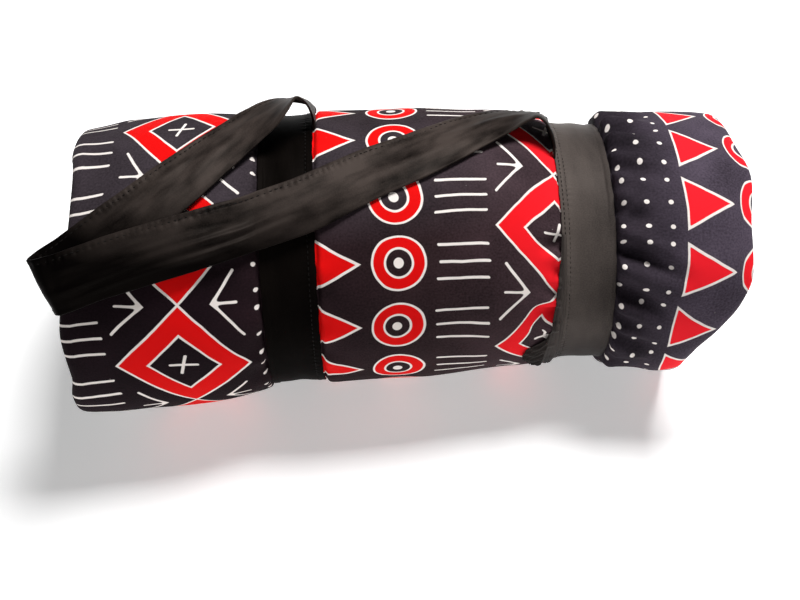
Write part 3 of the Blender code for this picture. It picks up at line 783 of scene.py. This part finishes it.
def stitch_rows(name, seams, material, size=(0.0024, 0.00042, 0.00030)):
    """Thread stitches: each is a small rounded bar of three six-sided rings and two tips, drawn out along
    its seam and lying on the cloth. A seam is its points, and a direction outwards at each; the size is a
    stitch's length, half width and half height."""
    ends = np.array([-1.0, -0.8, 0.0, 0.8, 1.0])
    girth = np.array([0.0, 0.75, 1.0, 0.75, 0.0])
    corner = np.radians(np.arange(6) * 60.0)
    bar = np.stack([np.repeat(ends, 6) * size[0] / 2,
                    np.outer(girth, np.cos(corner)).ravel() * size[1],
                    np.outer(girth, np.sin(corner)).ravel() * size[2]], -1)[5:25]
    ring = np.clip(np.arange(30).reshape(5, 6) - 5, 0, 19)
    ring = np.column_stack([ring, ring[:, :1]])
    corners = np.stack([ring[:-1, :-1], ring[:-1, 1:], ring[1:, 1:], ring[1:, :-1]], 2).reshape(-1, 4)
    stitches = []
    for points, outwards in seams:
        way = unit(np.gradient(points, axis=0))
        outwards = unit(outwards - way * np.sum(outwards * way, axis=1, keepdims=True))
        frames = np.stack([way, np.cross(outwards, way), outwards], 1)
        stitch = points[:, None, :] + np.einsum("pk,nkc->npc", bar, frames)
        stitches.append(stitch[points[:, 2] > FLOOR_GAP])
    stitches = np.concatenate(stitches)
    faces = (corners + len(bar) * np.arange(len(stitches))[:, None, None]).reshape(-1, 4)
    mesh = bpy.data.meshes.new(name)
    faces = [tuple(dict.fromkeys(face)) for face in faces.tolist()]
    mesh.from_pydata(stitches.reshape(-1, 3).tolist(), [], faces)
    mesh.shade_smooth()
    return add_piece(name, mesh, material)


def band_stitches(name, middle, material):
    """Stitches along a band's sewing lines, evenly spaced around the roll."""
    count = round(2 * math.pi * SATIN_ROUND / BAND_STITCH)
    around = 360.0 * np.arange(count) / count + FLAP_AROUND
    seams = []
    for side, offset in BAND_FINISH[name]["lines"]:
        across = np.full(count, (offset - BAND_WIDTH / 2) * (1 if side == "left" else -1))
        along = middle + across
        radius = band_radius(along, around) + band_height(name, across, around)
        outwards = place(along, around, radius + 0.01, -1.0) - place(along, around, 0.05, -1.0)
        seams.append((place(along, around, radius + 0.00002), outwards))
    return stitch_rows(piece_name(name) + "_stitches", seams, material)


def strap_stitches(material):
    """Stitches along the strap's hem, on both its faces."""
    line = np.array([-0.02, 0.0, 0.02]) + STRAP_SEAM / STRAP_WIDTH - 0.5
    *faces, middle = strap_faces(line, *strap_rows(STRAP_STITCH))
    seams = [(face[1:-1, 1], (face - middle)[1:-1, 1]) for face in faces]
    return stitch_rows("strap_stitches", seams, material, size=(0.0030, 0.00042, 0.00026))


# Finishes.

def math_method(name):
    """A method of Number that adds one Math node."""
    return lambda number, *others: number.math(name, *others)


class Number:
    """One number of a finish: plain arithmetic on it adds the Math nodes that work it out."""

    def __init__(self, finish, socket):
        self.finish, self.socket = finish, socket

    def math(self, operation, *others, clamp=False):
        """One Math node on this number and others."""
        settings = {"operation": operation, "use_clamp": clamp}
        return self.finish.node("ShaderNodeMath", settings, (self, *others))

    __add__ = __radd__ = math_method("ADD")
    __sub__ = math_method("SUBTRACT")
    __mul__ = __rmul__ = math_method("MULTIPLY")
    __truediv__ = math_method("DIVIDE")
    __abs__ = math_method("ABSOLUTE")
    least, most, sine = math_method("MINIMUM"), math_method("MAXIMUM"), math_method("SINE")

    def __rsub__(self, other):
        return self.finish.node("ShaderNodeMath", {"operation": "SUBTRACT"}, (other, self))

    def within(self, low, high):
        """Folds a number that repeats back into one repeat."""
        return self.math("WRAP", high, low)

    def clamped(self):
        """The number, kept between 0 and 1."""
        return self.math("ADD", 0.0, clamp=True)

    def to(self, other):
        """The length of the hypotenuse over this and another number."""
        return (self * self + other * other).math("SQRT")

    def inside(self, blur=0.16):
        """1 where this distance is below 0, 0 where it is above, with a soft edge."""
        return self.math("MULTIPLY_ADD", -0.5 / blur, 0.5, clamp=True)


class Finish:
    """A material's nodes."""

    def __init__(self, name):
        self.material = bpy.data.materials.new(name)
        self.material.use_nodes = True
        self.tree = self.material.node_tree
        self.shader = self.tree.nodes["Principled BSDF"]

    def node(self, kind, settings, sockets, output=0):
        """Adds one node: its settings first, then the value or the link of each socket."""
        made = self.tree.nodes.new(kind)
        for name, value in settings.items():
            setattr(made, name, value)
        pairs = sockets.items() if isinstance(sockets, dict) else enumerate(sockets)
        for key, value in pairs:
            self.set(made.inputs[key], value)
        return Number(self, made.outputs[output])

    def set(self, socket, value):
        """Links a number to a socket, or gives the socket a plain value."""
        if isinstance(value, Number):
            self.tree.links.new(value.socket, socket)
        elif socket.type == "RGBA" and len(value) == 3:
            socket.default_value = (*value, 1.0)
        else:
            socket.default_value = value

    def mix(self, share, first, second):
        """A colour between two colours."""
        return self.node("ShaderNodeMix", {"data_type": "RGBA"}, {0: share, 6: first, 7: second}, 2)

    def noise(self, vector, scale, detail=2.0, output=0):
        """Soft noise around a half; output 1 is a colour of three noises."""
        sockets = {"Vector": vector, "Scale": scale, "Detail": detail}
        return self.node("ShaderNodeTexNoise", {}, sockets, output)

    def vector(self, operation, first, second):
        """One Vector Math node, which works out all three parts of a vector or a colour."""
        return self.node("ShaderNodeVectorMath", {"operation": operation}, (first, second))

    def split(self, vector):
        """The three numbers of a vector."""
        made = self.node("ShaderNodeSeparateXYZ", {}, (vector,))
        return [Number(self, socket) for socket in made.socket.node.outputs]

    def join(self, x, y, z):
        """A vector of three numbers."""
        return self.node("ShaderNodeCombineXYZ", {}, (x, y, z))

    def on_cloth(self):
        """The place on the flat cloth, in metres."""
        return self.node("ShaderNodeUVMap", {"uv_map": "cloth"}, ())

    def on_piece(self):
        """The place in the room, in metres."""
        return self.node("ShaderNodeTexCoord", {}, (), 3)

    def bumps(self, height, distance, strength=1.0):
        """The surface's direction, tilted as if it rose by the height times the distance."""
        return self.node("ShaderNodeBump", {}, {"Height": height, "Distance": distance, "Strength": strength})

    def shine(self, **values):
        """Sets the shader's sockets by name, with spaces for underscores."""
        for name, value in values.items():
            self.set(self.shader.inputs[name.replace("_", " ")], value)
        return self.material


# The print's sizes in millimetres: across the cloth they count from the rings' middle.

ACROSS_FROM, ACROSS_TO = -22.4, 242.1                 # one repeat across the cloth
PERIOD = REPEAT_AROUND * 1000
OUTLINE, STROKE = 0.8, 1.0                            # half their widths
RING_EDGE, RING_INNER, RING_DOT = 19.0, 9.9, 3.6
LINES_AT, LINES_REACH, LINES_APART = 45.4, 17.6, 12.0
DIAMONDS_AT, DIAMOND_REACH, DIAMOND_INNER = 113.3, 32.51, 15.2
DIAMOND_SIDE = 0.7457, 0.6662                         # the direction square to a diamond's side
CROSS_REACH, CROSS_LEAN = 8.5, (0.966, 0.259)
ARROW_TIP, ARM_REACH, PRONG_REACH = 22.0, 28.4, 16.8
ARM_BACK, ARM_UP = 0.633, 0.773                       # the direction of an arrow's arm
DOTS_AT, DOTS_APART, DOT_PAIR, DOT = 179.3, 13.75, 18.05, 1.65
TRIANGLE_EDGE, TRIANGLE_TIP, TRIANGLE_SIDE = 203.0, 237.8, (0.506, 0.863)


def cotton_finish():
    """Black cotton with a screen print: rows of ringed dots, triple lines, arrows beside
    diamonds, dots and triangles. Each shape is a distance in millimetres; white and red are where theirs is
    below 0."""
    finish = Finish("printed cotton")
    mix, noise, vector = finish.mix, finish.noise, finish.vector
    flat = finish.on_cloth()
    plain = finish.node("ShaderNodeAttribute", {"attribute_name": "plain"}, (), 2)
    drawn = flat
    for scale, reach in ((16.0, 0.0046), (75.0, 0.0009)):
        wander = vector("SUBTRACT", noise(flat, scale, 1.0, output=1), (0.5, 0.5, 0.5))
        drawn = vector("ADD", drawn, vector("MULTIPLY", wander, (reach, reach, 0.0)))
    u, v, _ = finish.split(vector("MULTIPLY", drawn, (1000.0, 1000.0, 0.0)))
    u = u.within(ACROSS_FROM, ACROSS_TO)
    near_ring = v.within(-PERIOD / 2, PERIOD / 2)
    side_ring = abs(near_ring)

    # ringed dots: two outlines, red between them, and a dot in the middle
    ring = u.to(near_ring)
    white = (abs(ring - RING_EDGE) - OUTLINE).least(abs(ring - RING_INNER) - OUTLINE).least(ring - RING_DOT)
    red = (ring - RING_EDGE).most(RING_INNER - ring)

    # three lines beside each ring, not quite level with each other
    stagger = noise(finish.join(0.0, v, 0.0), 0.11, 0.0) * 6.0 - 3.0
    beyond = (abs(u - LINES_AT + stagger) - LINES_REACH).most(0.0)
    side_line = abs(near_ring - 0.8)
    lines = beyond.to(side_line.least(abs(side_line - LINES_APART))) - STROKE
    white = white.least(lines)

    # diamonds two repeats high that touch in a cross; red between the outer and the inner outline
    cross_u = u - DIAMONDS_AT
    beside = abs(cross_u)
    in_diamond = (v - PERIOD / 2).within(-PERIOD, PERIOD)
    diamond = beside * DIAMOND_SIDE[0] + abs(in_diamond) * DIAMOND_SIDE[1] - DIAMOND_REACH
    white = white.least(abs(diamond) - OUTLINE).least(abs(diamond + DIAMOND_INNER) - OUTLINE)
    red = red.least(diamond.most(-DIAMOND_INNER - diamond))

    # a small cross in each diamond: one stroke level, the other leaning
    level = (beside - CROSS_REACH).most(0.0).to(in_diamond) - STROKE
    lean_v = in_diamond * CROSS_LEAN[0] - cross_u * CROSS_LEAN[1]
    lean_u = cross_u * CROSS_LEAN[0] + in_diamond * CROSS_LEAN[1]
    leaning = (abs(lean_v) - CROSS_REACH).most(0.0).to(lean_u) - STROKE
    white = white.least(level).least(leaning)

    # arrows that point at the places where the diamonds touch, from both sides, their strokes run together
    level_v = (v + PERIOD / 2).within(-PERIOD, PERIOD)
    back = beside - ARROW_TIP - level_v * 0.11
    up = abs(level_v)
    along_arm = (back * ARM_BACK + up * ARM_UP).most(0.0).least(ARM_REACH)
    arm = (back - along_arm * ARM_BACK).to(up - along_arm * ARM_UP)
    prong = (back - back.most(0.0).least(PRONG_REACH)).to(up)
    arrow = finish.node("ShaderNodeMath", {"operation": "SMOOTH_MIN"}, (arm, prong, 5.0)) - STROKE
    arrow = arrow.most(up * ARM_BACK - back * ARM_UP - 1.1)
    white = white.least(arrow)

    # three columns of dots, one by one and two by two
    column = abs(u - DOTS_AT)
    dots = column.least(abs(column - DOTS_APART)).to(side_ring.least(abs(side_ring - DOT_PAIR))) - DOT
    white = white.least(dots)

    # triangles with pointed white corners and a rounder red heart
    edge = TRIANGLE_EDGE - u
    slope = (u - TRIANGLE_TIP) * TRIANGLE_SIDE[0] + side_ring * TRIANGLE_SIDE[1]
    white = white.least(edge.most(slope))
    heart = finish.node("ShaderNodeMath", {"operation": "SMOOTH_MAX"}, (edge + 1.5, slope + 1.9, 2.0))
    # the white of a triangle ends where its red heart begins
    white = white.most(0.0 - heart)
    red = red.least(heart)

    # painted light and shade on the black: deep painted shade at the left, lighter and browner in the middle,
    # a painted grey sheen on top,
    #     # lighter and browner again towards the right band, painted shade in the creases beside it, and a
    #     painted purplish-grey sheen at the far right; for each: where, how much, colour
    where, _, up_here = finish.split(finish.on_piece())
    painted_light_black = (0.0085, 0.0034, 0.0056)
    for share, most, shade in (((where + 0.15) * 6.0, 1.0, (0.0265, 0.0140, 0.0160)),
                               ((up_here - 0.180) * 40.0, 0.8, (0.0440, 0.0350, 0.0420)),
                               ((where - 0.01) * 9.0, 1.0, (0.0520, 0.0310, 0.0370)),
                               ((where - 0.11) * 30.0, 1.0, (0.0255, 0.0195, 0.0265)),
                               ((where - 0.163) * 22.0, 1.0, (0.0720, 0.0560, 0.0780))):
        painted_light_black = mix(share.clamped() * most, painted_light_black, shade)
    clouds = noise(flat, 20.0, 4.0) * 1.7 + noise(flat, 640.0, 2.0) * 1.3 - 0.50
    cotton = vector("MULTIPLY", painted_light_black, finish.join(clouds, clouds, clouds))
    worn = noise(flat, 9.0, 3.0)
    ink = mix(worn, (0.70, 0.0022, 0.0022), (0.84, 0.0045, 0.0045))
    # the red is painted pinker towards the right: a painted sheen, like the black's there
    ink = mix(((where - 0.01) * 9.0).clamped(), ink, (0.93, 0.0150, 0.0260))
    chalk = mix(noise(flat, 120.0, 2.0), (0.84, 0.76, 0.72), (0.93, 0.87, 0.82))
    colour = mix(red.inside(), cotton, ink)
    colour = mix(white.inside(), colour, chalk)
    colour = mix(plain, colour, (0.016, 0.014, 0.015))

    # lint: sparse pale flecks
    lint = finish.node("ShaderNodeTexVoronoi", {}, {"Vector": flat, "Scale": 130.0})
    chosen = noise(flat, 31.0, 0.0)
    fleck = (lint - 0.050).inside(0.02) * (0.66 - chosen).inside(0.01)
    colour = mix(fleck * 0.35, colour, (0.5, 0.47, 0.45))

    # plain weave: raised threads that cross each other
    u_fine, v_fine, _ = finish.split(vector("MULTIPLY", flat, (2 * math.pi / 0.00062,) * 3))
    weave = u_fine.sine() * v_fine.sine()
    cloudy = noise(flat, 420.0, 2.0)
    height = weave * 0.5 + cloudy * 1.6
    return finish.shine(Base_Color=colour, Roughness=0.72 + 0.1 * cloudy, Specular_IOR_Level=0.06,
                        Normal=finish.bumps(height, 0.00012, 0.6))


def satin_finish(name, dark, light, roughness, gloss, dark_below, rise, mottle, slope, sideways=False):
    """Black polyester satin: near black with a warm cast, a dull broad gloss, lighter clouds that are partly
    its brushed nap and partly a painted sheen, a fine grain, and soft creases that run along the strip. The
    clouds
    are painted light and shade: they fade in over the rise above dark_below, so the satin is painted darker
    towards the bottom, and get darker across the strip by the slope as painted shade; with sideways, they
    also fade out towards the left and the far right of the roll into painted shade."""
    finish = Finish(name)
    flat = finish.on_cloth()
    long_way = finish.vector("MULTIPLY", flat, (1.0, 0.25, 1.0))
    creases = finish.noise(long_way, 110.0, 3.0)
    grain = finish.noise(flat, 900.0, 2.0)
    where, _, up_here = finish.split(finish.on_piece())
    # painted light and shade: the sheen shows high up, and below dark_below the satin is painted shade
    shown = (up_here - dark_below) / rise
    if sideways:
        shown = (shown + (where + 0.10) * 5.0).least((0.13 - where) * 12.0)
    across, _, _ = finish.split(flat)
    # the nap's clouds, partly a painted sheen, made darker across the strip by the slope as painted shade
    nap_and_sheen = (finish.noise(flat, 22.0, 3.0) * 2.4 + creases * 2.0 - 2.2) * mottle
    nap_and_sheen = nap_and_sheen + 0.35 + grain * 0.6 - across * slope
    height = creases * 1.4 + grain * 0.22 + finish.noise(flat, 48.0, 2.0) * 2.6
    colour = finish.mix(nap_and_sheen.clamped() * shown.clamped(), dark, light)
    return finish.shine(Base_Color=colour, Roughness=roughness + 0.12 * grain,
                        Normal=finish.bumps(height, 0.00030, 0.6), Specular_IOR_Level=gloss,
                        Specular_Tint=(1.0, 0.84, 0.74, 1.0))


def thread_finish():
    """Black thread, a little lighter and rougher where its twist shows."""
    finish = Finish("black thread")
    twist = finish.noise(finish.on_piece(), 2600.0, 2.0)
    colour = finish.mix(twist, (0.003, 0.0026, 0.0024), (0.009, 0.0075, 0.0065))
    return finish.shine(Base_Color=colour, Roughness=0.6 + 0.15 * twist, Specular_IOR_Level=0.10,
                        Normal=finish.bumps(twist, 0.0001, 0.5))


def floor_finish():
    """Nearly white paper with faint clouds, which glows a little so that it stays pale."""
    finish = Finish("pale floor")
    colour = finish.mix(finish.noise(finish.on_piece(), 3.0, 2.0), (0.93, 0.93, 0.93), (0.96, 0.96, 0.96))
    return finish.shine(Base_Color=colour, Roughness=0.9, Specular_IOR_Level=0.1,
                        Emission_Color=(1.0, 1.0, 1.0, 1.0), Emission_Strength=0.38)


# Camera, floor and light.

AZIMUTH, ELEVATION, DISTANCE = -3.0, 50.0, 0.94
AIM = (0.0, 0.0, 0.1)
AIM_PIXEL, LENS_PIXELS, IMAGE = (407.5, 243.0), 1205.0, (800, 600)
SENSOR = 36.0


def set_up(data, axes, position):
    """Sets up a camera or a light at a position; its axes are the columns given."""
    matrix = np.eye(4)
    matrix[:3, :3], matrix[:3, 3] = axes, position
    thing = bpy.data.objects.new(data.name, data)
    thing.matrix_world = Matrix(matrix.tolist())
    bpy.context.scene.collection.objects.link(thing)
    return thing


def aim_camera():
    """A camera at the photograph's angle. AIM shows at AIM_PIXEL: the camera is turned by the small turn that
    takes the line through that pixel to the one through the picture's middle."""
    a, e = math.radians(AZIMUTH), math.radians(ELEVATION)
    back = np.array([math.sin(a) * math.cos(e), -math.cos(a) * math.cos(e), math.sin(e)])
    right = np.array([math.cos(a), math.sin(a), 0.0])
    axes = np.stack([right, np.cross(back, right), back], 1)
    across, down = ((AIM_PIXEL[k] - IMAGE[k] / 2) / LENS_PIXELS for k in (0, 1))
    turn = Vector((across, -down, -1.0)).rotation_difference(Vector((0.0, 0.0, -1.0))).to_matrix()
    lens = bpy.data.cameras.new("camera")
    lens.sensor_width = SENSOR
    lens.lens = LENS_PIXELS * SENSOR / IMAGE[0]
    lens.clip_start = 0.05
    bpy.context.scene.camera = set_up(lens, axes @ np.array(turn), np.array(AIM) + back * DISTANCE)


def soft_light(name, position, towards, size, power):
    """A soft square light that points at a place."""
    lamp = bpy.data.lights.new(name, "AREA")
    lamp.shape, lamp.size, lamp.energy = "SQUARE", size, power
    back = unit(np.array(position) - np.array(towards))
    right = unit(np.cross((0.0, 1.0, 0.001), back))
    set_up(lamp, np.stack([right, np.cross(back, right), back], 1), position)


def set_studio():
    """A wide pale floor, a large light above and a little behind, a weaker one in front, and surroundings
    that are pale at the horizon and dark above."""
    size, depth = 30.0, -0.0004
    mesh = bpy.data.meshes.new("floor")
    mesh.from_pydata([(-size, -size, depth), (size, -size, depth), (size, size, depth), (-size, size, depth)],
                     [], [(0, 1, 2, 3)])
    add_piece("floor", mesh, floor_finish())
    soft_light("top_light", (0.65, 0.65, 2.3), AIM, size=0.8, power=77.0)
    soft_light("front_light", (-0.5, -2.2, 1.3), AIM, size=1.6, power=13.0)
    world = bpy.data.worlds.new("studio")
    world.use_nodes = True
    sky = world.node_tree.nodes["Background"]
    nodes, links = world.node_tree.nodes, world.node_tree.links
    place_in_sky, height = nodes.new("ShaderNodeTexCoord"), nodes.new("ShaderNodeSeparateXYZ")
    brightness = nodes.new("ShaderNodeMapRange")
    # from the first height in the sky to the second, the brightness goes from the third value to the fourth
    for number, value in enumerate((0.02, 0.13, 0.55, 0.008)):
        brightness.inputs[number + 1].default_value = value
    sky.inputs["Color"].default_value = (1.0, 1.0, 1.0, 1.0)
    links.new(place_in_sky.outputs["Generated"], height.inputs[0])
    links.new(height.outputs["Z"], brightness.inputs[0])
    links.new(brightness.outputs[0], sky.inputs["Strength"])
    bpy.context.scene.world = world
    bpy.context.scene.view_settings.view_transform = "Standard"


# The object.

aim_camera()
set_studio()

cotton = cotton_finish()
# each satin's light colour is partly a painted sheen; dark_below, rise, slope and sideways place painted
# shade on it
left_satin = satin_finish("left band satin", (0.0008, 0.0006, 0.0005), (0.0040, 0.0030, 0.0026), 0.44, 0.012,
                          dark_below=0.04, rise=0.12, mottle=0.5, slope=10.0)
right_satin = satin_finish("right band satin", (0.0120, 0.0105, 0.0110), (0.0900, 0.0740, 0.0660), 0.42, 0.07,
                           dark_below=0.045, rise=0.06, mottle=0.25, slope=14.0)
strap_satin = satin_finish("strap satin", (0.0008, 0.0005, 0.0005), (0.0520, 0.0400, 0.0350), 0.40, 0.045,
                           dark_below=0.186, rise=0.028, mottle=1.0, slope=7.0, sideways=True)
thread = thread_finish()

roll = build_roll(cotton)
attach(roll, "root")
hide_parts("blanket_roll")

for name, middle in BANDS.items():
    satin = left_satin if name == "band_left" else right_satin
    band = build_band(name, middle, satin)
    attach(band, "root")
    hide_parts(name)
    trim = [band_stitches(name, middle, thread)]
    if name == "band_right":
        trim.append(build_slack_satin(satin))
    for piece in trim:
        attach(piece, "root")
    length = 2 * math.pi * float(smooth_column(SECTIONS, 3, middle))

strap = build_strap(strap_satin)
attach(strap, "root")
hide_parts("carry_strap")
hem = strap_stitches(thread)
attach(hem, "root")
